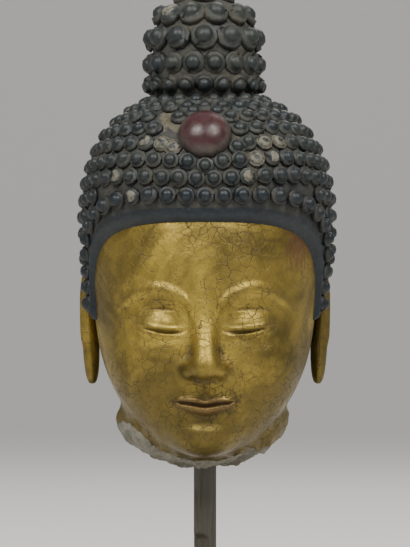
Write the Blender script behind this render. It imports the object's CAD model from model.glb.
"""Clay head of a buddha, gilded and dusty, on its wooden post and low foot, with a plain studio round it."""

import math

import bmesh
import bpy
import numpy as np
from bpy.props import FloatProperty, FloatVectorProperty, PointerProperty
from mathutils import Matrix, Vector, noise


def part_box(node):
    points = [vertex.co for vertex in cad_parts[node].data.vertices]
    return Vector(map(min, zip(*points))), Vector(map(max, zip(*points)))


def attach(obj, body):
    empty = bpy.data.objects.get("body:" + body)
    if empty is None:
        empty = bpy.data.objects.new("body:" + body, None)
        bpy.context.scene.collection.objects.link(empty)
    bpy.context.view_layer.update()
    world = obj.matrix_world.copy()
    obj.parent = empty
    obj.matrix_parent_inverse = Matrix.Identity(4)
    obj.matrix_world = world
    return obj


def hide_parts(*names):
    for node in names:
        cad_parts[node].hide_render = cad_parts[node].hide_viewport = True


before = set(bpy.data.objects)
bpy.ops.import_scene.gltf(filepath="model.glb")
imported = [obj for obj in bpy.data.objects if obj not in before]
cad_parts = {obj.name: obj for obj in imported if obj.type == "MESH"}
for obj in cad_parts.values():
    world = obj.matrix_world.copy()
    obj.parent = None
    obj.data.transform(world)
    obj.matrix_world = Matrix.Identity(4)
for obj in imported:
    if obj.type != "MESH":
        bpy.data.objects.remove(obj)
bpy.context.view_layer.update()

bl_info = {
    "name": "Buddha head with snail-shell curls",
    "version": (1, 0, 0),
    "blender": (4, 5, 0),
    "location": "3D View > Sidebar > Buddha Head",
    "description": "Makes a gilded clay head with blue snail-shell curls, a red jewel, its post and its foot",
    "category": "Add Mesh",
}

POST_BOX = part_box("post")
FOOT_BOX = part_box("foot")
IMAGE_SIZE = (410, 547)

# Head units: the face is 230 high, its chin is at z = 0 and it looks along -Y
FACE_UNITS = 230.0
NECK_BOTTOM = -14.0
AXIS_Y = 12.0
FRONT_Y = -40.0
BROW_Z = FACE_UNITS * 2 / 3
NOSE_Z = FACE_UNITS / 3
MOUTH_Z = NOSE_Z * 2 / 3
EYE_Z = BROW_Z - 24
EYE_X = 43.0
EYE_HALF = 24.0
MOUTH_HALF = 31.0

# Unrolled heights run along a capsule about the head's axis, between the middles of its two round ends
CORE_Z = (40.0, 185.0)
UNROLL_RADIUS = 115.0
UNROLL_ENDS = (CORE_Z[0] - UNROLL_RADIUS * math.pi / 2, CORE_Z[1] + UNROLL_RADIUS * math.pi / 2)

# The edge of the hair: an arch over the face, a sideburn before each ear, a way round the ear, and the nape
ARCH_TOP = 225.0
ARCH_ANGLE = math.radians(72)
ARCH_POWER = 3.4
SIDEBURN_Z = 132.0
EAR_ANGLES = (math.radians(86), math.radians(112))
EAR_TOP_Z = 188.0
NAPE_ANGLE = math.radians(128)
NAPE_Z = 62.0
BAND_WIDTH = 9.0
BAND_SLOPE = 2.2
HAIR_TOP = 335.0

TOPKNOT_CENTRE = np.array((-1.0, 16.0, 392.0))
# Rows of the topknot from its foot up: height and pitch of the curls, and the pitch of the crowning one
TOPKNOT_ROWS = ((366, 18), (387, 21.5), (413, 26), (436, 24.5), (454, 23))
CROWN_PITCH = 26.0
JEWEL_Z = 313.0
EAR_CENTRE = (115.0, 26.0, 126.0)
EAR_HALF_LENGTH = 58.0
EAR_FLARE = 9.0

# Damage on the front of the hair, as x and z in head units: curls that are gone with a bare patch under
# them, curls worn down to a pale rosette, and curls with a broken tip
BARE_PATCHES = ((-36, 331, 9), (-29, 323, 7), (-41, 321, 6))
ROSETTES = ((-41, 312), (-32, 299), (52, 310), (67, 300), (47, 293))
BROKEN_TIPS = ((-56, 301), (-82, 277), (-72, 247), (61, 285), (41, 266), (-74, 344), (-93, 330), (-26, 445),
               (-119, 291), (-127, 223))

# Rings of a curl a unit wide, from its sunk foot to its tip: radius, narrowing over one turn, height, climb
CURL_RINGS = (
    (0.50, 0, -0.22, 0), (0.465, 0.06, 0.30, 0.16), (0.36, 0.04, 0.08, 0.24),
    (0.31, 0, 0.60, 0), (0.20, 0, 0.90, 0), (0, 0, 1.0, 0),
)
CURL_COLUMNS = 10
# Distances from a curl's middle, with the dust in its groove and the loss of paint on a worn one there
CURL_GROOVE = ((0.28, 0.34, 0.42, 0.5), (0.4, 1.0, 0.3, 1.0))
WORN_LOSS = ((0.05, 0.2, 0.3, 0.34, 0.42, 0.5), (0.1, 0.6, 0.75, 0.3, 0.7, 0.5))
# Where a broken curl is cut and how far the cut leans, and the loss of paint near the cut
BREAK_LEVEL = 0.62
BREAK_TILT = 0.35
BREAK_LOSS = 0.62

# The chip in the post: its middle above the foot, and its turn from the face
CHIP_RISE = 0.045
CHIP_ANGLE = math.radians(40)
# Drying cracks in the post: angle round it, height of the middle, and half length
POST_CRACKS = ((0.75, 0.10, 0.035), (-0.35, 0.145, 0.03), (2.2, 0.09, 0.045))
POST_RINGS = 110

# Studio: the floor's flat and its bend up to a wall, the lights' places and sides, and the room
FLOOR_FLAT = 5.0
FLOOR_BEND = 3.0
FLOOR_GLOW = 0.24
LIGHTS = (
    ("key_left", (-0.75, -1.15, 1.75), 0.7),
    ("key_right", (0.80, -1.10, 1.75), 0.7),
    ("back_soft", (0.3, 1.9, 2.4), 2.0),
)
LIGHT_COLOUR = (1.0, 0.97, 0.92)
LIGHT_AIM = Vector((0, -0.03, 0.42))
ROOM_COLOUR = (0.80, 0.81, 0.83, 1)
ROOM_STRENGTH = 0.24


def colour_property(name, description, default):
    """A colour that a user may change."""
    return FloatVectorProperty(
        name=name, description=description, default=(*default, 1), size=4, subtype="COLOR", min=0, max=1
    )


def length_property(name, description, default):
    """A length in metres that a user may change."""
    return FloatProperty(name=name, description=description, default=default, min=0.001, unit="LENGTH")


class HeadSizes(bpy.types.PropertyGroup):
    """Sizes of the head, its jewel, its post and its foot."""

    face_height: length_property("Face height", "From the chin to the hairline", 0.230)
    curl_pitch: length_property("Curl pitch", "From curl to curl along a row", 0.017)
    curl_row_pitch: length_property("Row pitch", "From row to row of curls", 0.0176)
    curl_rise: FloatProperty(
        name="Curl rise", description="Height of a curl as a share of its width", default=0.46, min=0.1, max=1
    )
    jewel_diameter: length_property("Jewel diameter", "Width of the red jewel over the brow", 0.052)
    jewel_rise: length_property("Jewel rise", "How far the jewel stands out of the hair", 0.019)
    jewel_seat_depth: length_property("Jewel seat", "How deep the jewel sits in the hair", 0.0087)
    post_diameter: length_property("Post diameter", "Width of the wooden post", POST_BOX[1].x - POST_BOX[0].x)
    post_showing: length_property("Post showing", "Length of the post between foot and neck", 0.130)
    chip_height: length_property("Chip height", "Height of the chip low on the post", 0.036)
    chip_depth: length_property("Chip depth", "How deep the chip goes into the post", 0.006)
    foot_side: length_property("Foot side", "Width of the square foot", FOOT_BOX[1].x - FOOT_BOX[0].x)
    foot_height: length_property("Foot height", "Thickness of the foot", FOOT_BOX[1].z - FOOT_BOX[0].z)
    foot_bevel: length_property("Foot bevel", "Width of the foot's rounded edges", 0.004)


class HeadColours(bpy.types.PropertyGroup):
    """Colours of the finishes."""

    gold: colour_property("Gold", "Gilding where it is whole", (0.42, 0.305, 0.060))
    dull_gold: colour_property("Dull gold", "Gilding under handling dirt", (0.135, 0.100, 0.026))
    bole: colour_property("Bole", "Red ground where the gold is worn through", (0.090, 0.036, 0.009))
    grime: colour_property("Grime", "Dirt in cracks and folds", (0.042, 0.028, 0.011))
    clay: colour_property("Clay", "Bare clay of the broken neck", (0.25, 0.24, 0.19))
    hair_blue: colour_property("Hair blue", "Blue-black paint of the hair", (0.008, 0.013, 0.018))
    hair_green: colour_property("Hair green", "Greener paint among the curls", (0.014, 0.019, 0.018))
    dust: colour_property("Dust", "Pale dust in the hair", (0.066, 0.062, 0.050))
    gesso: colour_property("Gesso", "Pale ground where curls are lost", (0.155, 0.150, 0.120))
    lacquer: colour_property("Lacquer", "Red lacquer of the jewel", (0.034, 0.008, 0.010))
    lip_red: colour_property("Lip red", "Faint red left on the lips", (0.16, 0.085, 0.055))
    post_wood: colour_property("Post wood", "Grey old wood of the post", (0.072, 0.066, 0.050))
    foot_wood: colour_property("Foot wood", "Dark stained wood of the foot", (0.045, 0.030, 0.022))


class StageSettings(bpy.types.PropertyGroup):
    """The studio round the object."""

    floor: colour_property("Floor", "Plain pale floor", (0.72, 0.71, 0.69))
    light_power: FloatProperty(
        name="Light power", description="Power of each soft light", default=34, min=0, unit="POWER"
    )
    camera_distance: length_property("Camera distance", "From the camera to the head's axis", 3.6)
    camera_height: length_property("Camera height", "Height of the level camera", 0.3545)
    frame_height: length_property("Frame height", "What the camera sees from top to bottom", 0.547)


def unit(sizes):
    """Metres in one head unit."""
    return sizes.face_height / FACE_UNITS


def head_place(sizes):
    """From head units to where the head stands on its post."""
    neck_break = sizes.foot_height + sizes.post_showing
    foot = Vector((0, -AXIS_Y * unit(sizes), neck_break - NECK_BOTTOM * unit(sizes)))
    return Matrix.Translation(foot) @ Matrix.Scale(unit(sizes), 4)


def ellipsoid(p, centre, radii, power=2.0):
    """Nearly the signed distance from points p to an ellipsoid, squarer above a power of 2."""
    q = np.abs(p - np.array(centre)) / np.array(radii) + 1e-9
    near = (q**power).sum(1) ** (1 / power)
    slope = np.linalg.norm((q / near[:, None]) ** (power - 1) / np.array(radii), axis=1)
    return (near - 1) / slope


def taper(p, start, end, start_radius, end_radius):
    """Signed distance to a rod with round ends and two radii."""
    start, end = np.array(start, float), np.array(end, float)
    along = np.clip(((p - start) @ (end - start)) / ((end - start) @ (end - start)), 0, 1)
    axis_point = start + along[:, None] * (end - start)
    return np.linalg.norm(p - axis_point, axis=1) - (start_radius + along * (end_radius - start_radius))


def blend(a, b, width):
    """Union of two distances with a soft seam."""
    near = np.maximum(width - np.abs(a - b), 0) / width
    return np.minimum(a, b) - near * near * width / 4


def carve(a, b, width):
    """Distance a with b cut out of it and a soft edge."""
    return -blend(-a, b, width)


def bump(t):
    """A smooth hump, 1 at 0 and 0 beyond -1 and 1."""
    t = np.clip(t, -1, 1)
    return (1 - t * t) ** 2


def step(t):
    """A smooth step from 0 at 0 to 1 at 1."""
    t = np.clip(t, 0, 1)
    return t * t * (3 - 2 * t)


def unit_vectors(ways):
    """Ways of length 1."""
    return ways / np.linalg.norm(ways, axis=1)[:, None]


def skull_and_jaw(q):
    """Bare head without its features: cranium, face, jaw, cheeks and chin."""
    d = ellipsoid(q, (0, 0, 145), (109, 112, 146))
    for centre, radii, width in (
        ((0, 14, 205), (111, 122, 127), 24),
        ((0, -46, 62), (66, 58, 61), 26),
        ((46, -52, 92), (44, 48, 46), 24),
        ((0, -77, 21), (27, 25, 20), 18),
    ):
        d = blend(d, ellipsoid(q, centre, radii), width)
    return d


def smooth_curve(x, along, heights):
    """A smooth curve through points, level beyond its ends."""
    slopes = np.gradient(heights, along)
    i = np.clip(np.searchsorted(along, x) - 1, 0, len(along) - 2)
    width = along[i + 1] - along[i]
    t = np.clip((x - along[i]) / width, 0, 1)
    ends = (1 + 2 * t) * (1 - t) ** 2 * heights[i] + t * t * (3 - 2 * t) * heights[i + 1]
    return ends + width * t * (1 - t) * ((1 - t) * slopes[i] - t * slopes[i + 1])


def brow_line(x):
    """Height of the crest from the side of the nose along the brow."""
    along = np.array((-20, 8, 16, 34, 52, 70, 90, 120), float)
    return smooth_curve(x, along, np.array((-36, -26, -9, 4, 7, 2, -15, -43), float)) + BROW_Z + 3.5


def slit_line(u):
    """Height of the slit between the lids over the eye's width, -1 to 1."""
    arch = np.sqrt(np.clip(1 - u * u, 0, 1))
    return EYE_Z - 5 - 3.5 * arch * (1 - 0.25 * u) + 3.5 * step((u + 1) / 2)


def fold_line(u):
    """Height of the fold above the upper lid over the eye's width."""
    return EYE_Z + 9.5 + 5.5 * np.sqrt(np.clip(1 - u * u, 0, 1))


def mouth_line(x):
    """Height of the line between the lips."""
    return MOUTH_Z + 1.2 - 1.8 * np.exp(-((x / 9) ** 2)) + 2.2 * np.clip(x / MOUTH_HALF, 0, 1) ** 3


def lip_heights(x):
    """How far the upper and the lower lip reach from the line between them."""
    full = np.sqrt(1 - np.clip(x / MOUTH_HALF, 0, 1) ** 2)
    return 8.5 * full * (1 - 0.24 * np.exp(-((x / 5) ** 2))) + 0.5, 10.0 * full**0.95 + 0.5


def brow(d, x, y, z):
    """The ridge that runs from the side of the nose along the brow."""
    fade = step((x - 7) / 10) * (1 - step((x - 72) / 22))
    return d - 2.6 * fade * bump((z - brow_line(x)) / 9) * (y < 0)


def nose(q):
    """Bridge, tip and wings of the nose, with the nostrils cut in."""
    d = taper(q, (0, -100, NOSE_Z + 68), (0, -118, NOSE_Z + 17), 9, 12)
    d = blend(d, ellipsoid(q, (0, -119, NOSE_Z + 11), (13, 13, 11)), 7)
    d = blend(d, ellipsoid(q, (14, -110, NOSE_Z + 8), (9, 12, 8.5)), 6)
    return carve(d, ellipsoid(q, (7.5, -114, NOSE_Z - 2), (4.2, 7, 5)), 3)


def eye(d, x, y, z):
    """Lowered lids: the slit between them, the lid's edge and the fold above it."""
    u = (x - EYE_X) / EYE_HALF
    slit, fold = z - slit_line(u), z - fold_line(u)
    front = (y < FRONT_Y) * bump(u / 1.25)
    d = d - front * 1.8 * bump((slit - 3.2) / 3.4) - front * 1.3 * bump((slit + 3.6) / 3.2)
    return d + front * (3.0 * bump(slit / 2.6) + 1.5 * bump(fold / 2.8))


def mouth(d, x, y, z):
    """Closed lips with the line between them, and the hollows above and below."""
    full = np.sqrt(1 - np.clip(x / MOUTH_HALF, 0, 1) ** 2)
    line = z - mouth_line(x)
    upper_height, lower_height = lip_heights(x)
    upper, lower = np.clip(line / upper_height, 0, 1), np.clip(-line / lower_height, 0, 1)
    front = y < FRONT_Y
    d = d - front * full**0.7 * (4.2 * np.sin(np.pi * upper**0.75) + 5.2 * np.sin(np.pi * lower**0.8))
    d = d + front * 2.4 * bump(x / (MOUTH_HALF * 1.18)) ** 0.4 * bump(line / 2.4)
    d = d + front * 1.8 * bump(np.hypot(x - MOUTH_HALF - 1, z - MOUTH_Z - 4) / 9)
    d = d + front * 2.8 * bump(x / 28) * bump((z - MOUTH_Z + 17) / 10)
    return d + front * 2.0 * bump(x / 7) * bump((z - MOUTH_Z - 16) / 10)


def neck(q):
    """The stub of the neck, broken off in a rough bowl under the jaw."""
    x, y, z = q.T
    coarse = 2.2 * np.sin(x * 0.11 + 1.3) * np.sin(y * 0.13 + 0.4)
    fine = 1.4 * np.sin(x * 0.23) * np.sin(y * 0.21 + z * 0.2)
    bowl = ellipsoid(q, (-2, AXIS_Y, 36), (84, 78, 36 - NECK_BOTTOM))
    return bowl + (coarse + fine) * step((50 - z) / 12)


def skin(p):
    """Signed distance to the head without hair."""
    mirrored = p * (-1, 1, 1)
    q = np.where(p[:, :1] < 0, mirrored, p)
    x, y, z = q.T
    d = skull_and_jaw(q)
    d = carve(d, ellipsoid(q, (34, -124, EYE_Z + 2), (25, 17, 16)), 16)
    d = brow(d, x, y, z)
    d = blend(d, ellipsoid(q, (EYE_X, -80, EYE_Z - 1), (27, 28, 19)), 5)
    d = blend(d, nose(q), 9)
    d = eye(d, x, y, z)
    d = mouth(d, x, y, z)
    return blend(d, neck(p), 6)


def hair(p):
    """Signed distance to the mass of hair on the skull, without the curls."""
    d = ellipsoid(p, (2, 14, 228), (122, 128, 129), 2.45)
    d = blend(d, ellipsoid(p, (0, 34, 152), (108, 108, 112)), 24)
    return blend(d, ellipsoid(p, (0, 0, 145), (115, 116, 146)), 10)


def topknot(p):
    """Signed distance to the knob of hair on the crown, without its curls."""
    return taper(p, TOPKNOT_CENTRE - (0, 0, 18), TOPKNOT_CENTRE + (0, 0, 16), 55, 50)


def reach(distance, starts, directions, far=230.0):
    """How far along each direction the surface lies, found from outside inwards."""
    r = np.full(len(directions), far)
    starts = np.broadcast_to(starts, directions.shape)
    moving = np.arange(len(r))
    for pace in (0.9,) * 14 + (0.4,) * 22:
        gap = distance(starts[moving] + directions[moving] * r[moving, None])
        r[moving] = np.maximum(r[moving] - pace * gap, 0)
        moving = moving[np.abs(gap) > 0.003]
        if not len(moving):
            break
    return r


def direction(angle, rise):
    """Unit vectors from the angle round the head, 0 at the face, and the angle above the horizon."""
    return np.stack([np.sin(angle) * np.cos(rise), -np.cos(angle) * np.cos(rise), np.sin(rise)], axis=-1)


def unrolled(p):
    """Angle round the head of each point, 0 at the face, and its unrolled height."""
    level = np.clip(p[:, 2], *CORE_Z)
    out = np.hypot(p[:, 0], p[:, 1] - AXIS_Y)
    return np.arctan2(p[:, 0], AXIS_Y - p[:, 1]), level + UNROLL_RADIUS * np.arctan2(p[:, 2] - level, out)


def rays(angle, height):
    """Starts on the head's axis, and ways outwards, of the rays through unrolled points."""
    level = np.clip(height, *CORE_Z)
    starts = np.stack([np.zeros(len(level)), np.full(len(level), AXIS_Y), level], axis=1)
    return starts, direction(angle, (height - level) / UNROLL_RADIUS)


def on_surface(distance, angle, height):
    """Head-unit places of unrolled points on a surface."""
    starts, outward = rays(angle, height)
    return starts + outward * reach(distance, starts, outward)[:, None]


def on_front(distance, x, z):
    """Head-unit places on the front of a surface."""
    starts = np.stack([x, np.zeros(len(x)), z], axis=1)
    forward = np.tile((0.0, -1.0, 0.0), (len(x), 1))
    return starts + forward * reach(distance, starts, forward)[:, None]


def normals(distance, points, probe=1.0):
    """Outward unit vectors of a surface at its points."""
    slope = [distance(points + way) - distance(points - way) for way in np.eye(3) * probe]
    return unit_vectors(np.stack(slope, axis=1))


def face_edge(samples=120):
    """Points (angle, height) of the hair's edge from the brow to the sideburn on the +X side."""
    turn = np.linspace(math.pi / 2, 0, samples)
    height = SIDEBURN_Z + (ARCH_TOP - SIDEBURN_Z) * np.sin(turn) ** (2 / ARCH_POWER)
    return np.stack([ARCH_ANGLE * np.cos(turn) ** (2 / ARCH_POWER), height], axis=1)


def back_edge(samples=60):
    """Points (angle, height) of the hair's edge from the sideburn round the +X ear to the nape."""
    turn = np.linspace(math.pi, 0, samples)
    middle, half = sum(EAR_ANGLES) / 2, (EAR_ANGLES[1] - EAR_ANGLES[0]) / 2
    height = SIDEBURN_Z + (EAR_TOP_Z - SIDEBURN_Z) * np.sin(turn) ** 0.6
    round_ear = np.stack([middle + half * np.cos(turn), height], axis=1)
    share = np.linspace(0, 1, 20)[1:]
    angle = EAR_ANGLES[1] + (NAPE_ANGLE - EAR_ANGLES[1]) * share
    fall = np.stack([angle, SIDEBURN_Z + (NAPE_Z - SIDEBURN_Z) * step(share)], axis=1)
    return np.concatenate([[(ARCH_ANGLE, SIDEBURN_Z)], round_ear, fall, [(math.pi, NAPE_Z)]])


def gap_to(path, angle, height):
    """Unrolled distance from points to an edge of the hair."""
    corners = path * (UNROLL_RADIUS, 1)
    start, along = corners[:-1], np.diff(corners, axis=0)
    points = np.stack([np.abs(angle) * UNROLL_RADIUS, height], axis=1)
    gaps = []
    for some in np.array_split(points, len(points) // 2000 + 1):
        gap = some[:, None] - start[None]
        t = np.clip((gap * along).sum(2) / ((along**2).sum(1) + 1e-9), 0, 1)
        gaps.append(np.linalg.norm(gap - t[..., None] * along, axis=2).min(1))
    return np.concatenate(gaps)


def edge_depths(angle, height):
    """Depths of points in the hair from its edge over the face and from the rest, below 0 on the skin."""
    whole = np.concatenate([face_edge(), back_edge()[1:]])
    side = np.where(height > np.interp(np.abs(angle), whole[:, 0], whole[:, 1]), 1, -1)
    return side * gap_to(face_edge(), angle, height), side * gap_to(back_edge(), angle, height)


def depth_in_hair(p):
    """The same depths for points in head units."""
    return edge_depths(*unrolled(p))


def lengths_along(path):
    """How far along a path each of its points lies."""
    return np.concatenate([[0], np.cumsum(np.linalg.norm(np.diff(path, axis=0), axis=1))])


def points_at(at, length, path):
    """Points of a flat path at distances from its start."""
    return np.stack([np.interp(at, length, path[:, i]) for i in (0, 1)], axis=1)


def even_row(path, offset, spacing):
    """Angles and heights beside an edge, a spacing apart, on the +X side and mirrored."""
    line = path * (UNROLL_RADIUS, 1)
    length = lengths_along(line)
    at = np.linspace(0, length[-1], 500)
    place, ahead, back = (points_at(at + way, length, line) for way in (0, 1, -1))
    tangent = unit_vectors(ahead - back)
    half = (place + offset * np.stack([-tangent[:, 1], tangent[:, 0]], axis=1)) / (UNROLL_RADIUS, 1)
    half = half[gap_to(path, half[:, 0], half[:, 1]) > 0.7 * abs(offset)]
    half = np.clip(half, (0, -np.inf), (math.pi, np.inf))
    length = lengths_along(half * (UNROLL_RADIUS, 1))
    half = points_at(np.linspace(0, length[-1], round(length[-1] / spacing) + 1), length, half)
    inner = half[(half[:, 0] > 0.01) & (half[:, 0] < math.pi - 0.01)]
    return np.concatenate([half, inner * (-1, 1)]).T


def ring(distance, height, spacing, offset):
    """Evenly spaced points of a surface at one unrolled height."""
    turn = np.linspace(0, 2 * math.pi, 241)
    length = lengths_along(on_surface(distance, turn, np.full(len(turn), height)))
    count = max(3, round(length[-1] / spacing))
    at = (np.arange(count) + offset) / count * length[-1]
    return on_surface(distance, np.interp(at, length, turn), np.full(count, height))


def levels(distance, low, high, spacing, through):
    """Unrolled heights that are a spacing apart along the surface beside the face, one of them through."""
    height = np.linspace(low, high, 300)
    length = lengths_along(on_surface(distance, np.full(len(height), math.radians(30)), height))
    phase = np.interp(through, height, length) % spacing
    return np.interp(np.arange(phase, length[-1], spacing), length, height)


def jewel_place():
    """The jewel's middle on the hair over the brow, and the way it faces."""
    middle = on_front(hair, np.zeros(1), np.array([JEWEL_Z]))
    return middle[0], normals(hair, middle)[0]


def gaps_between(points, others):
    """Distance of each point to the nearest of the others."""
    return np.linalg.norm(points[:, None] - others[None], axis=2).min(1)


def skull_curls(pitch, row_pitch, jewel_radius):
    """Places of the curls on the skull: a row along the edges of the hair, and level rows inside it."""
    row_offset = BAND_WIDTH + pitch / 2
    brow_row = on_surface(hair, *even_row(face_edge(300), row_offset, pitch))
    brow_row = brow_row[depth_in_hair(brow_row)[1] > 0.5 * pitch]
    back_row = on_surface(hair, *even_row(back_edge(), 0.55 * pitch, pitch))
    back_row = back_row[depth_in_hair(back_row)[0] > row_offset]
    first = np.concatenate([brow_row, back_row[gaps_between(back_row, brow_row) > 0.8 * pitch]])
    rows = [first]
    for number, height in enumerate(levels(hair, 50, HAIR_TOP, row_pitch, ARCH_TOP + row_offset)):
        row = ring(hair, height, pitch, 0.5 * (number % 2))
        from_face, from_back = depth_in_hair(row)
        inside = (from_face > row_offset) & (from_back > pitch)
        rows.append(row[inside & (gaps_between(row, first) > 0.8 * pitch)])
    curls = np.concatenate(rows)
    curls = curls[topknot(curls) > 0.45 * pitch]
    middle, _ = jewel_place()
    away = curls - middle
    gap = np.linalg.norm(away, axis=1)
    pushed = middle + away * (np.maximum(gap, jewel_radius + 0.45 * pitch) / gap)[:, None]
    return on_surface(hair, *unrolled(pushed[gap > jewel_radius - 0.1 * pitch]))


def topknot_curls():
    """Places of the topknot's curls, with the width of each."""
    places, widths = [], []
    for number, (z, pitch) in enumerate(TOPKNOT_ROWS):
        middle = np.array([(*TOPKNOT_CENTRE[:2], z)])
        radius = reach(topknot, middle, np.array([(1.0, 0.0, 0.0)]))[0]
        count = round(2 * math.pi * radius / pitch)
        turn = (np.arange(count) + 0.5 * (number % 2)) / count * 2 * math.pi
        places.append(middle + direction(turn, np.zeros(count)) * radius)
        widths += [pitch] * count
    crown = TOPKNOT_CENTRE + (0, 0, 66)
    return np.concatenate([*places, [crown]]), np.array([*widths, CROWN_PITCH])


def ear_relief(across, up):
    """Height of the ear's carving, its rim, fold, shell and groove, over its shares of width and height."""
    rim = bump((np.hypot(across, 0.9 * (up - 0.35)) - 0.86) / 0.22) * step((up + 0.35) / 0.3)
    fold = bump((across - 0.28 + 0.25 * up) / 0.3) * bump((up - 0.2) / 0.6)
    shell = bump((across + 0.2) / 0.55) * bump((up - 0.15) / 0.42)
    groove = bump((across - 0.42) / 0.16) * bump((up + 0.1) / 0.75)
    return 3.0 * rim + 2.0 * fold - 7.0 * shell - 2.2 * groove


def places_of(bm):
    """The corners of a bmesh as an array."""
    return np.array([vert.co for vert in bm.verts])


def put(bm, places):
    """Moves the corners of a bmesh to places."""
    for vert, place in zip(bm.verts, places):
        vert.co = place


def add_attribute(mesh, title, values):
    """Stores one number for each corner of a mesh."""
    layer = mesh.attributes.new(title, "FLOAT", "POINT")
    layer.data.foreach_set("value", np.asarray(values, np.float32))


def finish_piece(bm, name, material, node, matrix, attributes):
    """Turns a bmesh into a piece that stands for a CAD node and rides with the part."""
    bmesh.ops.transform(bm, verts=bm.verts, matrix=matrix)
    bmesh.ops.recalc_face_normals(bm, faces=bm.faces)
    if any(edge.is_boundary for edge in bm.edges):
        raise RuntimeError(f"{name} has an open edge")
    mesh = bpy.data.meshes.new(name)
    bm.to_mesh(mesh)
    bm.free()
    mesh.polygons.foreach_set("use_smooth", [True] * len(mesh.polygons))
    for title, values in attributes.items():
        add_attribute(mesh, title, values)
    mesh.materials.append(material)
    piece = bpy.data.objects.new(name, mesh)
    bpy.context.scene.collection.objects.link(piece)
    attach(piece, "root")
    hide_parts(node)
    return piece


def head_piece(bm, name, material, sizes, attributes):
    """A piece of the clay head, from a bmesh in head units."""
    return finish_piece(bm, name, material, "head", head_place(sizes), attributes)


def hollowness(mesh, rounds, depth):
    """How far each corner lies under the smoothed surface round it, in depths; below 0 on ridges."""
    count = len(mesh.vertices)
    places, outward = np.empty(3 * count), np.empty(3 * count)
    mesh.vertices.foreach_get("co", places)
    mesh.vertices.foreach_get("normal", outward)
    places, outward = places.reshape(-1, 3), outward.reshape(-1, 3)
    ends = np.empty(2 * len(mesh.edges), int)
    mesh.edges.foreach_get("vertices", ends)
    start, end = ends.reshape(-1, 2).T
    sides = np.bincount(start, minlength=count) + np.bincount(end, minlength=count)
    smoothed = places.copy()
    for _ in range(rounds):
        total = np.stack(
            [
                np.bincount(start, smoothed[end, i], count) + np.bincount(end, smoothed[start, i], count)
                for i in range(3)
            ],
            axis=1,
        )
        smoothed = 0.5 * smoothed + 0.5 * total / sides[:, None]
    return np.clip(((smoothed - places) * outward).sum(1) / depth, -1, 1)


def roughness_of(places, scale, octaves=4):
    """Fractal unevenness at places, about -1 to 1."""
    return np.array([noise.fractal(Vector(place) / scale, 0.9, 2.1, octaves) for place in places])


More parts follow.
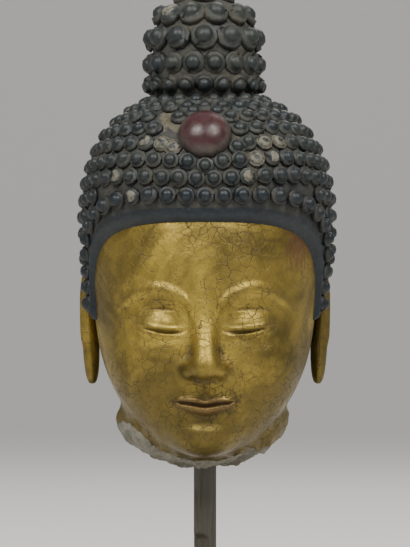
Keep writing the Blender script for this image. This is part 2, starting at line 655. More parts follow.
class Finish:
    """A material in the making: short calls that add shader nodes and link them."""

    def __init__(self, name, **sockets):
        self.material = bpy.data.materials.new(name)
        self.material.use_nodes = True
        self.nodes = self.material.node_tree.nodes
        self.links = self.material.node_tree.links
        self.shader = self.nodes["Principled BSDF"]
        self.place = self.nodes.new("ShaderNodeTexCoord").outputs["Object"]
        for title, value in sockets.items():
            self.feed(self.shader.inputs[title.replace("_", " ")], value)

    def feed(self, socket, value):
        """Links an output to a socket, or sets its value."""
        if isinstance(value, bpy.types.NodeSocket):
            self.links.new(value, socket)
        else:
            socket.default_value = value

    def node(self, kind, output, inputs=None, **settings):
        """One output of a new shader node with its settings and inputs."""
        node = self.nodes.new("ShaderNode" + kind)
        for title, value in settings.items():
            setattr(node, title, value)
        for title, value in (inputs or {}).items():
            self.feed(node.inputs[title], value)
        return node.outputs[output]

    def stretched(self, scale):
        """Object coordinates stretched by a scale along each axis."""
        return self.node("Mapping", "Vector", {"Vector": self.place, "Scale": scale})

    def shaken(self, scale, reach):
        """Object coordinates pushed about by clouds, by up to a reach in metres."""
        clouds = self.node("TexNoise", "Color", {"Vector": self.place, "Scale": scale})
        inputs = {0: clouds, 1: (reach, reach, reach), 2: self.place}
        return self.node("VectorMath", 0, inputs, operation="MULTIPLY_ADD")

    def noise(self, scale, detail=3, roughness=0.55, distortion=0, place=None):
        """Cloudy values about 0.5."""
        inputs = {"Vector": place or self.place, "Scale": scale, "Detail": detail}
        return self.node("TexNoise", "Fac", {**inputs, "Roughness": roughness, "Distortion": distortion})

    def cells(self, scale, place):
        """Distance to the edges of irregular cells."""
        inputs = {"Vector": place, "Scale": scale}
        return self.node("TexVoronoi", "Distance", inputs, feature="DISTANCE_TO_EDGE")

    def attribute(self, title):
        """A piece's own number for each corner."""
        return self.node("Attribute", "Fac", attribute_name=title)

    def upward(self):
        """1 where the surface faces up, -1 where it faces down."""
        return self.node("SeparateXYZ", "Z", {0: self.node("NewGeometry", "Normal")})

    def between(self, value, low, high, start=0.0, end=1.0):
        """A value mapped from low..high to start..end and held there."""
        inputs = {"Value": value, "From Min": low, "From Max": high, "To Min": start, "To Max": end}
        return self.node("MapRange", "Result", inputs, interpolation_type="SMOOTHSTEP")

    def math(self, operation, first, second, clamp=False):
        """Arithmetic on two values."""
        return self.node("Math", 0, {0: first, 1: second}, operation=operation, use_clamp=clamp)

    def plus(self, first, second, clamp=False):
        """The sum of two values, held between 0 and 1 if clamped."""
        return self.math("ADD", first, second, clamp)

    def times(self, first, second):
        """The product of two values."""
        return self.math("MULTIPLY", first, second)

    def mix(self, share, first, second):
        """A colour between two, by share."""
        return self.node("Mix", 2, {0: share, 6: first, 7: second}, data_type="RGBA")

    def tinted(self, colour, share, low, high):
        """A colour made darker and lighter by a share from 0 to 1."""
        tone = self.between(share, 0.25, 0.75, low, high)
        if not isinstance(colour, bpy.types.NodeSocket):
            colour = self.fixed(colour)
        return self.node("VectorMath", 0, {0: colour, "Scale": tone}, operation="SCALE")

    def fixed(self, colour):
        """A colour as an output."""
        output = self.node("RGB", 0)
        output.default_value = colour
        return output

    def dent(self, height, depth, under=None):
        """A normal that carries relief of a depth in metres."""
        inputs = {"Distance": depth, "Height": height}
        if under:
            inputs["Normal"] = under
        return self.node("Bump", "Normal", inputs)

    def done(self, colour, roughness, normal, metallic=None):
        """Sets the surface of the shader and gives the material."""
        looks = {"Base Color": colour, "Roughness": roughness, "Normal": normal, "Metallic": metallic}
        for title, value in looks.items():
            if value is not None:
                self.feed(self.shader.inputs[title], value)
        return self.material


def gilded_clay(colours):
    """Gold leaf over clay: whole and dull gold, crackle, specks, red ground in worn places, bare clay."""
    made = Finish("worn_gilding")
    hollow = made.attribute("hollow")
    cloud = made.noise(22, 5, 0.6)
    patches = made.noise(9, 4, 0.65, 0.6)
    fine = made.noise(420, 3, 0.7)
    dull = made.plus(made.between(patches, 0.36, 0.66), made.attribute("soot"), True)
    gold = made.mix(dull, colours.gold, colours.dull_gold)
    gold = made.tinted(gold, made.noise(70, 4, 0.7), 0.82, 1.14)
    streaks = made.noise(230, 5, 0.7, 0.4, made.stretched((1, 1, 0.3)))
    rubbed = made.plus(made.attribute("wear"), made.between(cloud, 0.55, 0.8, -0.25, 0.3))
    worn = made.plus(rubbed, made.between(streaks, 0.3, 0.7, -0.45, 0.3), True)
    gold = made.mix(made.between(worn, 0.3, 0.7, 0, 0.9), gold, made.tinted(colours.bole, fine, 0.7, 1.3))
    ridge = made.between(hollow, -0.55, -0.05, 0.3, 0)
    gold = made.mix(ridge, gold, colours.dull_gold)
    cracks = made.between(made.cells(95, made.shaken(60, 0.012)), 0.0, 0.045, 1, 0)
    cracks = made.times(cracks, made.between(made.noise(30, 3), 0.36, 0.58))
    specks = made.between(made.noise(430, 3, 0.65), 0.57, 0.66)
    specks = made.times(specks, made.between(cloud, 0.35, 0.6, 0.35, 1))
    dirt = made.plus(made.between(hollow, 0.12, 0.9, 0, 0.6), made.times(cracks, 0.75), True)
    dirt = made.plus(dirt, made.times(specks, 0.75), True)
    gold = made.mix(dirt, gold, colours.grime)
    gold = made.mix(made.times(made.attribute("lips"), 0.3), gold, colours.lip_red)
    clay = made.tinted(colours.clay, made.noise(120, 6, 0.75), 0.62, 1.25)
    clay = made.mix(made.between(made.noise(35, 4), 0.45, 0.7, 0, 0.6), clay, colours.grime)
    ragged = made.between(made.noise(160, 5, 0.7), 0.2, 0.8, -0.3, 0.3)
    bare = made.between(made.plus(made.attribute("bare"), ragged), 0.42, 0.58)
    colour = made.mix(bare, gold, clay)
    clean = made.math("SUBTRACT", 1.0, made.times(dirt, 0.7))
    metallic = made.times(clean, made.between(worn, 0.3, 0.8, 0.86, 0.1))
    metallic = made.times(metallic, made.math("SUBTRACT", 1.0, bare, True))
    roughness = made.between(made.noise(45, 4, 0.7), 0.3, 0.75, 0.37, 0.56)
    roughness = made.plus(roughness, made.times(made.math("MAXIMUM", dirt, bare), 0.4), True)
    normal = made.dent(made.noise(38, 3, 0.5), 0.0011)
    grit = made.math("SUBTRACT", made.noise(260, 4, 0.7), made.times(cracks, 0.6))
    normal = made.dent(grit, 0.0005, normal)
    normal = made.dent(made.times(made.noise(300, 6, 0.8), bare), 0.0022, normal)
    return made.done(colour, roughness, normal, metallic)


def painted_hair(colours):
    """Blue-black paint, greener in places, with pale dust in the grooves and bare gesso on breaks."""
    made = Finish("painted_hair", Specular_IOR_Level=0.32)
    tone = made.attribute("tone")
    paint = made.mix(tone, colours.hair_blue, colours.hair_green)
    paint = made.tinted(paint, made.noise(180, 4, 0.7), 0.6, 1.5)
    dusty = made.between(made.noise(55, 5, 0.65), 0.35, 0.72, 0.1, 0.75)
    groove = made.between(made.attribute("groove"), 0.1, 0.8, 0, 1.1)
    settled = made.between(made.upward(), 0.2, 0.95, 0, 0.22)
    dust = made.times(made.plus(made.plus(groove, settled), 0.06, True), dusty)
    dust = made.plus(dust, made.times(made.attribute("dusty"), 0.5), True)
    colour = made.mix(dust, paint, made.tinted(colours.dust, made.noise(300, 3), 0.75, 1.25))
    chips = made.between(made.noise(240, 4, 0.75), 0.70, 0.76, 0, 0.7)
    edge = made.between(made.noise(210, 5, 0.75), 0.2, 0.8, -0.35, 0.35)
    loss = made.between(made.plus(made.attribute("loss"), edge), 0.4, 0.6)
    loss = made.math("MAXIMUM", loss, chips)
    gesso = made.tinted(colours.gesso, made.noise(260, 5, 0.75), 0.6, 1.2)
    gesso = made.mix(made.between(made.noise(150, 5, 0.7), 0.48, 0.72, 0, 0.8), gesso, colours.grime)
    gesso = made.mix(made.times(groove, 0.45), gesso, colours.grime)
    colour = made.mix(loss, colour, gesso)
    roughness = made.between(dust, 0.0, 0.8, 0.40, 0.9)
    roughness = made.math("MAXIMUM", roughness, made.times(loss, 0.9))
    normal = made.dent(made.noise(130, 4, 0.6), 0.0009)
    normal = made.dent(made.noise(600, 4, 0.7), 0.00022, normal)
    return made.done(colour, roughness, normal)


def red_lacquer(colours):
    """Dark red lacquer, rubbed and dusty, duller and browner towards its rim."""
    made = Finish("rubbed_lacquer", Coat_Weight=0.08, Coat_Roughness=0.3, Specular_IOR_Level=0.38)
    rim = made.attribute("rim")
    cloud = made.noise(60, 5, 0.6, 0.4)
    colour = made.tinted(colours.lacquer, cloud, 0.7, 1.4)
    film = made.between(made.plus(rim, made.between(cloud, 0.3, 0.7, -0.3, 0.3)), 0.35, 1.0, 0.08, 0.75)
    colour = made.mix(film, colour, made.tinted(colours.dust, made.noise(150, 4), 0.5, 0.9))
    specks = made.between(made.noise(500, 3, 0.6), 0.66, 0.74, 0, 0.5)
    colour = made.mix(specks, colour, colours.dust)
    roughness = made.between(made.noise(110, 4, 0.7), 0.3, 0.7, 0.26, 0.44)
    roughness = made.plus(roughness, made.times(film, 0.3), True)
    normal = made.dent(made.noise(45, 3, 0.5), 0.0009)
    normal = made.dent(made.noise(350, 4, 0.7), 0.00012, normal)
    return made.done(colour, roughness, normal)


def aged_wood(name, colour, grime, along, pale, gloss):
    """Wood with streaks, pores and checks that run along one axis, greyer or paler in patches."""
    made = Finish(name)
    grain, splits = (
        made.stretched(tuple(share if axis == along else 1.0 for axis in range(3))) for share in (0.06, 0.03)
    )
    streaks = made.noise(260, 6, 0.7, 0.3, grain)
    bands = made.noise(55, 4, 0.6, 1.2, grain)
    surface = made.tinted(colour, streaks, 0.62, 1.35)
    surface = made.tinted(surface, bands, 0.78, 1.2)
    surface = made.mix(made.between(made.noise(16, 4, 0.65), 0.4, 0.7, 0, 0.55), surface, pale)
    checks = made.between(made.cells(48, splits), 0.0, 0.03, 1, 0)
    checks = made.times(checks, made.between(made.noise(18, 3), 0.48, 0.6))
    cracks = made.between(made.attribute("hollow"), 0.1, 0.8, 0, 0.8)
    surface = made.mix(made.plus(made.times(checks, 0.85), cracks, True), surface, grime)
    roughness = made.between(streaks, 0.3, 0.7, gloss, gloss + 0.2)
    normal = made.dent(made.math("SUBTRACT", streaks, checks), 0.0006)
    normal = made.dent(made.noise(500, 4, 0.7, 0, grain), 0.0001, normal)
    return made.done(surface, roughness, normal)


def material_for(name, build, colours):
    """The material of this name, made once."""
    return bpy.data.materials.get(name) or build(colours)


def sphere(meridians, rows):
    """A unit sphere of many corners, rolled up from a grid."""
    bm = bmesh.new()
    bmesh.ops.create_grid(bm, x_segments=meridians, y_segments=rows, size=1)
    for vert in bm.verts:
        turn, rise = math.pi * vert.co.x, math.pi / 2 * vert.co.y
        vert.co = (math.sin(turn) * math.cos(rise), -math.cos(turn) * math.cos(rise), math.sin(rise))
    bmesh.ops.remove_doubles(bm, verts=bm.verts, dist=1e-5)
    return bm


def wrapped(bm, turn, heights, distance):
    """Angles, heights and places on a surface for a sphere's corners, from their turn and station heights."""
    x, y, z = places_of(bm).T
    angle = turn(np.arctan2(x, -y))
    height = np.interp(np.arcsin(np.clip(z, -1, 1)) / math.pi + 0.5, np.linspace(0, 1, len(heights)), heights)
    return angle, height, on_surface(distance, angle, height)


def stations(*runs):
    """Heights that climb through runs of (start, end, spacing)."""
    parts = [np.arange(start, end, spacing) for start, end, spacing in runs]
    return np.append(np.concatenate(parts), runs[-1][1])


class SCULPTURE_OT_face(bpy.types.Operator):
    """Makes the gilded face, the skull under the hair and the broken stub of the neck"""

    bl_idname = "sculpture.face"
    bl_label = "Face and neck"

    def execute(self, context):
        sizes, colours = context.scene.head_sizes, context.scene.head_colours
        heights = stations((UNROLL_ENDS[0], -2, 2.0), (-2, 232, 1.2), (232, UNROLL_ENDS[1], 7))
        bm = sphere(330, len(heights) - 1)
        angle, height, places = wrapped(bm, lambda turn: turn - 0.5 * np.sin(turn), heights, skin)
        outward = normals(skin, places)
        past_jaw = skull_and_jaw(np.abs(places * (1, 0, 0)) + places * (0, 1, 1))
        stub = step((past_jaw - 2) / 4) * step((5 - neck(places)) / 3) * step((62 - places[:, 2]) / 10)
        down = step((-outward[:, 2] - 0.62) / 0.18)
        left = step((-places[:, 0] - 10) / 60)
        bare = stub * np.maximum(down, (0.35 + 0.5 * left) * step((40 - places[:, 2]) / 16))
        rough = bare > 0.05
        lumps = np.zeros(len(places))
        lumps[rough] = roughness_of(places[rough], 11) + 0.5 * roughness_of(places[rough] + 50, 4)
        places = places + outward * (2.2 * lumps * bare)[:, None]
        temple = bump((places[:, 0] - 93) / 38) * bump((places[:, 2] - 198) / 50) * (places[:, 1] < 0)
        depths = edge_depths(angle, height)
        hairline = step((np.max(depths, axis=0) + 5) / 5)
        x = np.abs(places[:, 0])
        upper, lower = lip_heights(x)
        line = places[:, 2] - mouth_line(x)
        lips = (x < MOUTH_HALF) * (places[:, 1] < FRONT_Y)
        lips = lips * step((upper - line) / 2) * step((lower + line) / 2)
        wear = 0.95 * temple + 0.4 * hairline
        soot = 0.75 * step((150 - places[:, 2]) / 130)
        put(bm, places)
        material = material_for("worn_gilding", gilded_clay, colours)
        attributes = {"bare": bare, "wear": wear, "lips": lips, "soot": soot}
        piece = head_piece(bm, "gilded_face", material, sizes, attributes)
        add_attribute(piece.data, "hollow", hollowness(piece.data, 30, 0.0016))
        return {"FINISHED"}


class SCULPTURE_OT_ears(bpy.types.Operator):
    """Makes the two long gilded ears"""

    bl_idname = "sculpture.ears"
    bl_label = "Ears"

    def execute(self, context):
        sizes, colours = context.scene.head_sizes, context.scene.head_colours
        material = material_for("worn_gilding", gilded_clay, colours)
        for name, side in (("ear_left", -1), ("ear_right", 1)):
            bm = bmesh.new()
            bmesh.ops.create_uvsphere(bm, u_segments=96, v_segments=72, radius=1)
            bmesh.ops.rotate(bm, verts=bm.verts, matrix=Matrix.Rotation(math.pi / 2, 3, "Y"))
            out, across, up = places_of(bm).T
            blunt = np.sign(up) * np.abs(up) ** 0.75
            chord = np.sqrt(np.maximum(1 - up * up, 1e-6))
            half_width = 12.5 + 8.5 * step((up + 0.3) / 0.9)
            relief = ear_relief(across / chord, up) * (out > 0) * chord
            x = 8.5 * out * (1 - 0.25 * step(up)) / chord**0.35 + relief
            y = half_width * across / chord**0.25 + 5 * blunt
            put(bm, np.stack([x, y, EAR_HALF_LENGTH * blunt], axis=1))
            tilt = Matrix.Rotation(math.radians(EAR_FLARE), 4, "Z") @ Matrix.Rotation(math.radians(3), 4, "Y")
            bmesh.ops.transform(bm, verts=bm.verts, matrix=Matrix.Translation(EAR_CENTRE) @ tilt)
            bmesh.ops.scale(bm, verts=bm.verts, vec=(side, 1, 1))
            zeros = np.zeros(len(bm.verts))
            attributes = {"bare": zeros, "wear": zeros + 0.3, "lips": zeros, "soot": zeros + 0.5}
            piece = head_piece(bm, name, material, sizes, attributes)
            add_attribute(piece.data, "hollow", hollowness(piece.data, 20, 0.0012))
        return {"FINISHED"}


def bare_share(places):
    """1 on the front of the hair where curls are gone and the gesso shows."""
    share = np.zeros(len(places))
    for x, z, radius in BARE_PATCHES:
        share = np.maximum(share, bump(np.hypot(places[:, 0] - x, places[:, 2] - z) / (1.6 * radius)))
    return share * (places[:, 1] < FRONT_Y)


class SCULPTURE_OT_hair(bpy.types.Operator):
    """Makes the mass of hair with its smooth band over the face, and the knob on the crown"""

    bl_idname = "sculpture.hair"
    bl_label = "Hair under the curls"

    def execute(self, context):
        sizes, colours = context.scene.head_sizes, context.scene.head_colours
        material = material_for("painted_hair", painted_hair, colours)
        heights = stations((UNROLL_ENDS[0], 40, 12), (40, 250, 1.7), (250, UNROLL_ENDS[1], 4))
        bm = sphere(400, len(heights) - 1)
        angle, height, outer = wrapped(bm, lambda turn: turn, heights, hair)
        starts, outward = rays(angle, height)
        inner = starts + outward * reach(skin, starts, outward)[:, None]
        from_face, from_back = edge_depths(angle, height)
        depth = np.where(np.abs(from_face) < np.abs(from_back), from_face, from_back)
        thick = np.maximum(((outer - inner) * outward).sum(1), 2.5)
        swelling = thick * (1 - np.exp(-BAND_SLOPE * depth / thick))
        lift = np.where(depth < 0, np.maximum(BAND_SLOPE * depth, -8), swelling)
        lift = lift + 1.3 * bump((from_face - 4.5) / 5.5) * (from_back > 2)
        places = inner + outward * lift[:, None]
        band = 1 - step((from_face - BAND_WIDTH + 1) / 3)
        loss = bare_share(places)
        lumps = 0.35 * roughness_of(places, 16, 3)
        places = places + outward * (lumps * (depth > 3) - 1.0 * loss)[:, None]
        put(bm, places)
        groove = (1 - band) * (depth > 4)
        attributes = {"tone": 0.1 * band, "groove": groove, "loss": loss, "dusty": 0.3 * (1 - band)}
        head_piece(bm, "hair_cap", material, sizes, attributes)

        bm = bmesh.new()
        bmesh.ops.create_uvsphere(bm, u_segments=96, v_segments=64, radius=1)
        ways = unit_vectors(places_of(bm))
        put(bm, TOPKNOT_CENTRE + ways * reach(topknot, TOPKNOT_CENTRE, ways)[:, None])
        ones = np.ones(len(bm.verts))
        attributes = {"tone": 0.5 * ones, "groove": ones, "loss": 0 * ones, "dusty": 0.4 * ones}
        head_piece(bm, "topknot_core", material, sizes, attributes)
        return {"FINISHED"}


def curl_form():
    """One snail-shell curl, a unit wide and high: a whorl that climbs from its foot round a blunt knob."""
    bm = bmesh.new()
    bmesh.ops.create_grid(bm, x_segments=CURL_COLUMNS, y_segments=len(CURL_RINGS) - 1, size=1)
    for vert in bm.verts:
        share = (vert.co.x + 1) / 2
        radius, narrowing, rise, climb = CURL_RINGS[round((vert.co.y + 1) / 2 * (len(CURL_RINGS) - 1))]
        angle, radius = 2 * math.pi * share, radius - narrowing * share
        vert.co = (radius * math.cos(angle), radius * math.sin(angle), rise + climb * share)
    bmesh.ops.remove_doubles(bm, verts=bm.verts, dist=1e-4)
    bmesh.ops.holes_fill(bm, edges=bm.edges, sides=0)
    bmesh.ops.recalc_face_normals(bm, faces=bm.faces)
    return bm


def cut_curl(level, tilt):
    """A curl broken off at a level, with its corners under the break as in the whole one."""
    bm = curl_form()
    cut = bmesh.ops.bisect_plane(
        bm, geom=bm.verts[:] + bm.edges[:] + bm.faces[:], plane_co=(0, 0, level), plane_no=(tilt, 0.1, 1),
        clear_outer=True,
    )["geom_cut"]
    bmesh.ops.contextual_create(bm, geom=[item for item in cut if isinstance(item, bmesh.types.BMEdge)])
    bmesh.ops.recalc_face_normals(bm, faces=bm.faces)
    return bm


def kept_form(kind, bm):
    """A curl's form as a mesh to copy, with the groove and loss of each corner."""
    groove, loss = [], []
    top = max(vert.co.z for vert in bm.verts)
    for vert in bm.verts:
        out, z = math.hypot(vert.co.x, vert.co.y), vert.co.z
        groove.append(float(np.interp(out, *CURL_GROOVE)) if z < 0.5 * top else 0.0)
        worn = float(np.interp(out, *WORN_LOSS))
        loss.append({"whole": 0.0, "worn": worn, "broken": BREAK_LOSS * float(z > top - 0.2)}[kind])
    mesh = bpy.data.meshes.new(kind + "_curl")
    bm.to_mesh(mesh)
    bm.free()
    return mesh, np.array(groove), np.array(loss)


def curl_matrix(place, outward, width, rise, spin, lean):
    """From a curl's unit form to its place in head units."""
    turn = (Vector(outward) + Vector(lean)).normalized().to_track_quat("Z", "Y").to_matrix().to_4x4()
    size = Matrix.Diagonal((width, width, rise, 1))
    return Matrix.Translation(place) @ turn @ Matrix.Rotation(spin, 4, "Z") @ size


def curl_kinds(places):
    """Which curls are whole, worn or broken."""
    kinds = ["whole"] * len(places)
    for kind, spots in (("worn", ROSETTES), ("broken", BROKEN_TIPS)):
        for x, z in spots:
            gap = np.hypot(places[:, 0] - x, places[:, 2] - z) + 1000 * (places[:, 1] > 0)
            kinds[int(gap.argmin())] = kind
    return kinds


class SCULPTURE_OT_curls(bpy.types.Operator):
    """Makes the snail-shell curls on the skull and the topknot, some of them broken or worn down"""

    bl_idname = "sculpture.curls"
    bl_label = "Curls"

    def execute(self, context):
        sizes, colours = context.scene.head_sizes, context.scene.head_colours
        material = material_for("painted_hair", painted_hair, colours)
        pitch = sizes.curl_pitch / unit(sizes)
        jewel_radius = sizes.jewel_diameter / unit(sizes) / 2
        skull = skull_curls(pitch, sizes.curl_row_pitch / unit(sizes), jewel_radius)
        knob, knob_widths = topknot_curls()
        places = np.concatenate([skull, knob])
        outward = np.concatenate([normals(hair, skull), unit_vectors(knob - TOPKNOT_CENTRE)])
        widths = np.concatenate([np.full(len(skull), pitch), knob_widths])
        front_row = np.concatenate([depth_in_hair(skull)[0] < BAND_WIDTH + pitch, np.zeros(len(knob), bool)])
        forms = {
            "whole": kept_form("whole", curl_form()),
            "broken": kept_form("broken", cut_curl(BREAK_LEVEL, BREAK_TILT)),
            "worn": kept_form("worn", curl_form()),
        }
        kinds = curl_kinds(places)
        gone = bare_share(places) > 0.3
        random = np.random.default_rng(11)
        on_skull, on_knob = range(len(skull)), range(len(skull), len(places))
        for name, chosen, most_dust in (("skull_curls", on_skull, 0.12), ("topknot_curls", on_knob, 0.35)):
            bm = bmesh.new()
            layers = {"tone": [], "groove": [], "loss": [], "dusty": []}
            for i in chosen:
                tone, dusty, size, spin = random.uniform(size=4)
                lean = random.normal(0, 0.07, 3)
                if gone[i]:
                    continue
                form, groove, loss = forms[kinds[i]]
                width = widths[i] * (1.06 + 0.10 * size)
                rise = widths[i] * sizes.curl_rise * (0.94 + 0.12 * dusty)
                if kinds[i] == "worn":
                    rise = 0.5 * rise
                copy = form.copy()
                copy.transform(curl_matrix(places[i], outward[i], width, rise, 2 * math.pi * spin, lean))
                bm.from_mesh(copy)
                bpy.data.meshes.remove(copy)
                shade, dust = (0.25 * tone, 0) if front_row[i] else (0.2 + 0.8 * tone, most_dust * dusty)
                layers["tone"].append(np.full(len(groove), shade))
                layers["groove"].append(groove)
                layers["loss"].append(loss)
                layers["dusty"].append(np.full(len(groove), dust))
            attributes = {title: np.concatenate(values) for title, values in layers.items()}
            head_piece(bm, name, material, sizes, attributes)
        for form, _, _ in forms.values():
            bpy.data.meshes.remove(form)
        return {"FINISHED"}


class SCULPTURE_OT_jewel(bpy.types.Operator):
    """Makes the domed red jewel over the brow"""

    bl_idname = "sculpture.jewel"
    bl_label = "Jewel"

    def execute(self, context):
        sizes, colours = context.scene.head_sizes, context.scene.head_colours
        radius = sizes.jewel_diameter / 2
        bm = bmesh.new()
        bmesh.ops.create_uvsphere(bm, u_segments=96, v_segments=64, radius=1)
        for vert in bm.verts:
            if vert.co.z < -1e-6:
                vert.co.z = -1
        bmesh.ops.remove_doubles(bm, verts=bm.verts, dist=1e-5)
        rim = []
        for vert in bm.verts:
            x, y, z = vert.co
            rim.append(math.hypot(x, y) if z > -0.01 else 1.0)
            lump = 0.008 * noise.noise(Vector((x, y, z)) * 2.2) * max(z, 0)
            half_height = sizes.jewel_rise if z > 0 else sizes.jewel_seat_depth
            vert.co = (x * radius, y * radius, (z + lump) * half_height)
        middle, facing = jewel_place()
        turn = Vector(facing).to_track_quat("Z", "Y").to_matrix().to_4x4()
        matrix = Matrix.Translation(head_place(sizes) @ Vector(middle)) @ turn
        attributes = {"rim": np.array(rim) ** 3}
        finish_piece(bm, "red_jewel", red_lacquer(colours), "hair_jewel", matrix, attributes)
        return {"FINISHED"}


def post_blank(radius, low, high):
    """A plain round post with even rings of corners."""
    bm = bmesh.new()
    bmesh.ops.create_circle(bm, cap_ends=True, segments=96, radius=radius)
    bmesh.ops.translate(bm, verts=bm.verts, vec=(0, 0, low))
    top = bm.faces[:]
    for _ in range(POST_RINGS):
        raised = bmesh.ops.extrude_face_region(bm, geom=top)["geom"]
        if top[0].calc_center_median().z > low:
            bmesh.ops.delete(bm, geom=top, context="FACES_ONLY")
        top = [item for item in raised if isinstance(item, bmesh.types.BMFace)]
        verts = [item for item in raised if isinstance(item, bmesh.types.BMVert)]
        bmesh.ops.translate(bm, verts=verts, vec=(0, 0, (high - low) / POST_RINGS))
    return bm


class SCULPTURE_OT_post(bpy.types.Operator):
    """Makes the wooden post with its chip and drying cracks"""

    bl_idname = "sculpture.post"
    bl_label = "Post"

    def execute(self, context):
        sizes, colours = context.scene.head_sizes, context.scene.head_colours
        radius = sizes.post_diameter / 2
        bm = post_blank(radius, POST_BOX[0].z, POST_BOX[1].z)
        away = Vector((-math.sin(CHIP_ANGLE), -math.cos(CHIP_ANGLE), 0))
        chip_z = sizes.foot_height + CHIP_RISE
        hollow = []
        for vert in bm.verts:
            x, y, z = vert.co
            angle = math.atan2(x, -y)
            flat = radius - sizes.chip_depth + 0.0011 * noise.noise(Vector((x, y, z * 0.4)) * 260)
            over = vert.co.xy.dot(away.xy) - flat
            ends = sizes.chip_height / 2 * (1 + 0.12 * noise.noise(Vector((angle * 3, z * 20, 4))))
            share = float(step((ends - abs(z - chip_z)) / 0.004))
            cut = max(over, 0) * share
            crack = sum(
                float(bump((angle - at) / 0.07) * bump((z - middle) / half))
                for at, middle, half in POST_CRACKS
            )
            shrink = min(1 - 0.09 * crack - 0.012 * noise.noise(Vector((x * 90, y * 90, z * 6))), 1)
            vert.co = (x * shrink - away.x * cut, y * shrink - away.y * cut, z)
            hollow.append(0.9 * crack + 0.25 * share * (over > 0))
        material = aged_wood("grey_wood", colours.post_wood, colours.grime, 2, colours.dust, 0.6)
        finish_piece(bm, "wooden_post", material, "post", Matrix(), {"hollow": hollow})
        return {"FINISHED"}


class SCULPTURE_OT_foot(bpy.types.Operator):
    """Makes the low square foot with worn edges, which the post runs into"""

    bl_idname = "sculpture.foot"
    bl_label = "Foot"

    def execute(self, context):
        sizes, colours = context.scene.head_sizes, context.scene.head_colours
        bm = bmesh.new()
        bmesh.ops.create_cube(bm, size=1)
        bmesh.ops.scale(bm, verts=bm.verts, vec=(sizes.foot_side, sizes.foot_side, sizes.foot_height))
        bmesh.ops.translate(bm, verts=bm.verts, vec=(0, 0, sizes.foot_height / 2))
        bmesh.ops.bevel(
            bm, geom=bm.edges[:], offset=sizes.foot_bevel, affect="EDGES", segments=4, profile=0.5,
            material=-1,
        )
        top = max(bm.faces, key=lambda face: face.calc_center_median().z)
        bmesh.ops.inset_region(bm, faces=[top], thickness=0.05, use_even_offset=True)
        long_edges = [edge for edge in bm.edges if edge.calc_length() > 0.02]
        bmesh.ops.subdivide_edges(bm, edges=long_edges, cuts=39, use_grid_fill=True)
        for vert in bm.verts:
            x, y, z = vert.co
            edge = max(abs(x), abs(y)) / (sizes.foot_side / 2)
            wear = abs(0.0005 * noise.fractal(Vector((x, y, z)) * 60, 0.9, 2.1, 4))
            if z > 0.003:
                vert.co = Vector((x, y, z)) * (1 - wear * 2 * (edge > 0.9)) + Vector((0, 0, -wear * 0.4))
        bmesh.ops.triangulate(bm, faces=[face for face in bm.faces if len(face.verts) > 4])
        hollow = np.zeros(len(bm.verts))
        material = aged_wood("stained_wood", colours.foot_wood, colours.grime, 0, colours.dust, 0.42)
        finish_piece(bm, "wooden_foot", material, "foot", Matrix(), {"hollow": hollow})
        return {"FINISHED"}


def plain_finish(name, colour, glow):
    """A matt plain surface with a faint even glow."""
    made = Finish(name, Roughness=0.9, Base_Color=colour, Emission_Color=colour, Emission_Strength=glow)
    return made.material


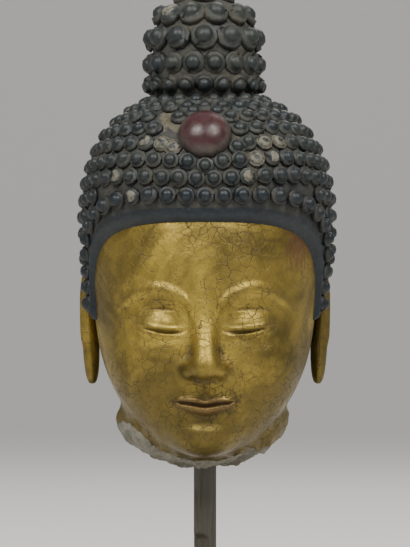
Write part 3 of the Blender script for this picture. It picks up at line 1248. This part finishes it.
class SCULPTURE_OT_stage(bpy.types.Operator):
    """Makes the pale floor, the soft lights and the level camera"""

    bl_idname = "sculpture.stage"
    bl_label = "Stage"

    def execute(self, context):
        scene, settings = context.scene, context.scene.stage_settings
        bm = bmesh.new()
        bends = [
            (FLOOR_FLAT + FLOOR_BEND * math.sin(turn), FLOOR_BEND - FLOOR_BEND * math.cos(turn))
            for turn in np.linspace(0, math.pi / 2, 24)
        ]
        corners = [(0, 0), (FLOOR_FLAT / 2, 0), *bends, (FLOOR_FLAT + FLOOR_BEND, 2 * FLOOR_BEND)]
        profile = [bm.verts.new((out, 0, up)) for out, up in corners]
        edges = [bm.edges.new(pair) for pair in zip(profile, profile[1:])]
        bmesh.ops.spin(
            bm, geom=profile + edges, cent=(0, 0, 0), axis=(0, 0, 1), angle=2 * math.pi, steps=96,
            use_merge=True,
        )
        bmesh.ops.remove_doubles(bm, verts=bm.verts, dist=1e-4)
        bmesh.ops.recalc_face_normals(bm, faces=bm.faces)
        for face in bm.faces:
            face.smooth = True
        mesh = bpy.data.meshes.new("floor")
        bm.to_mesh(mesh)
        bm.free()
        mesh.materials.append(plain_finish("pale_floor", settings.floor, FLOOR_GLOW))
        floor = bpy.data.objects.new("floor", mesh)
        scene.collection.objects.link(floor)

        world = bpy.data.worlds.new("pale_room")
        world.use_nodes = True
        background = world.node_tree.nodes["Background"]
        background.inputs["Color"].default_value = ROOM_COLOUR
        background.inputs["Strength"].default_value = ROOM_STRENGTH
        scene.world = world

        for name, place, side in LIGHTS:
            light = bpy.data.lights.new(name, "AREA")
            light.shape = "SQUARE"
            light.size = side
            light.energy = settings.light_power
            light.color = LIGHT_COLOUR
            lamp = bpy.data.objects.new(name, light)
            lamp.location = place
            lamp.rotation_euler = (LIGHT_AIM - Vector(place)).to_track_quat("-Z", "Y").to_euler()
            scene.collection.objects.link(lamp)

        camera_data = bpy.data.cameras.new("camera")
        camera_data.sensor_width = 36
        long_side = max(IMAGE_SIZE) / IMAGE_SIZE[1] * settings.frame_height
        camera_data.lens = camera_data.sensor_width * settings.camera_distance / long_side
        camera_data.clip_end = 60
        camera = bpy.data.objects.new("camera", camera_data)
        camera.location = (0, -settings.camera_distance, settings.camera_height)
        camera.rotation_euler = (math.pi / 2, 0, 0)
        scene.collection.objects.link(camera)
        scene.camera = camera
        return {"FINISHED"}


class SCULPTURE_PT_parts(bpy.types.Panel):
    """The sculpture's pieces, sizes and colours"""

    bl_idname = "SCULPTURE_PT_parts"
    bl_label = "Buddha Head"
    bl_space_type = "VIEW_3D"
    bl_region_type = "UI"
    bl_category = "Buddha Head"

    def draw(self, context):
        layout = self.layout
        for operator in PIECES:
            layout.operator(operator.bl_idname)
        for title in GROUPS:
            group = getattr(context.scene, title)
            box = layout.box()
            for name in group.__annotations__:
                box.prop(group, name)


PIECES = (
    SCULPTURE_OT_face,
    SCULPTURE_OT_ears,
    SCULPTURE_OT_hair,
    SCULPTURE_OT_curls,
    SCULPTURE_OT_jewel,
    SCULPTURE_OT_post,
    SCULPTURE_OT_foot,
    SCULPTURE_OT_stage,
)
GROUPS = {"head_sizes": HeadSizes, "head_colours": HeadColours, "stage_settings": StageSettings}


def register():
    """Adds the classes, and the settings that a scene holds."""
    for group in (*GROUPS.values(), *PIECES, SCULPTURE_PT_parts):
        bpy.utils.register_class(group)
    for title, group in GROUPS.items():
        setattr(bpy.types.Scene, title, PointerProperty(type=group))


def unregister():
    """Takes the settings and the classes away."""
    for title in GROUPS:
        delattr(bpy.types.Scene, title)
    for group in (SCULPTURE_PT_parts, *reversed(PIECES), *reversed(GROUPS.values())):
        bpy.utils.unregister_class(group)


def main():
    """Makes every piece and the stage."""
    register()
    for operator in PIECES:
        category, name = operator.bl_idname.split(".")
        getattr(getattr(bpy.ops, category), name)()
    bpy.context.view_layer.update()


if __name__ == "__main__":
    main()
